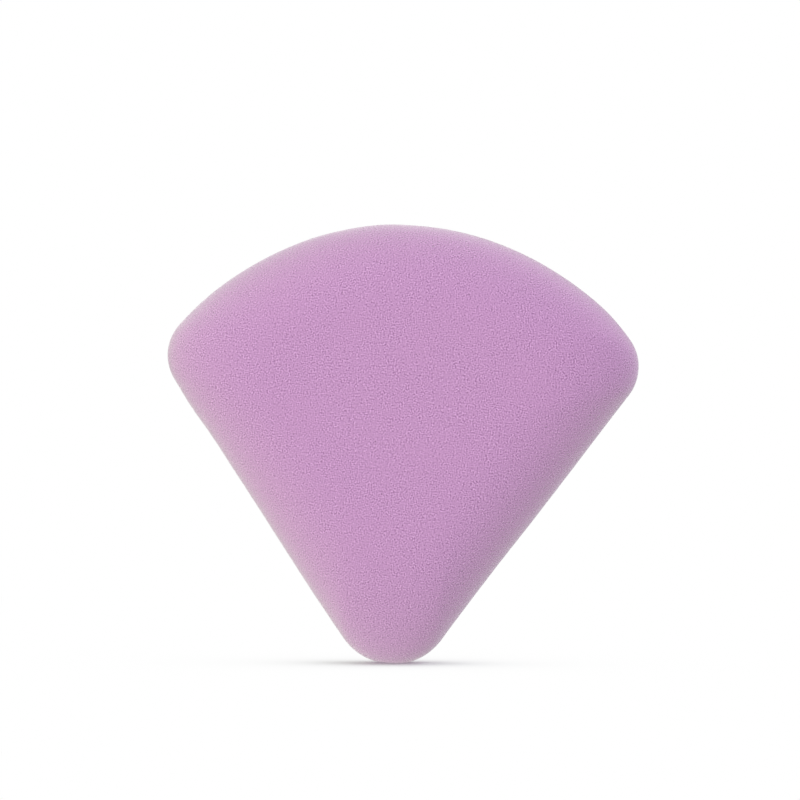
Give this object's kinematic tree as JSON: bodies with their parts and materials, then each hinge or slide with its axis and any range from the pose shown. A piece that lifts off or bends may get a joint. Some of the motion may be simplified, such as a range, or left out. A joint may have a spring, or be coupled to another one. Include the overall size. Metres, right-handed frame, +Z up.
{
  "type": "concealer sponge",
  "caption": "Soft fan-shaped make-up sponge with a rounded tip and a crowned pad, a flocked skin over a foam core, for dabbing and blending concealer.",
  "frame": {"origin": "middle of the flat at the rounded tip, on which the sponge stands", "axes": "+Z up from the tip to the top arc, +X across the width, the front face towards -Y"},
  "size_m": [0.0568, 0.016, 0.0527],
  "materials": {
    "flock": "short velvety flock, lilac, matt with a pale sheen at the rim",
    "foam": "fine open-cell foam, pale lilac, matt"
  },
  "bodies": {
    "root": {"front_skin": "flock", "back_skin": "flock", "foam_core": "foam"}
  },
  "joints": []
}
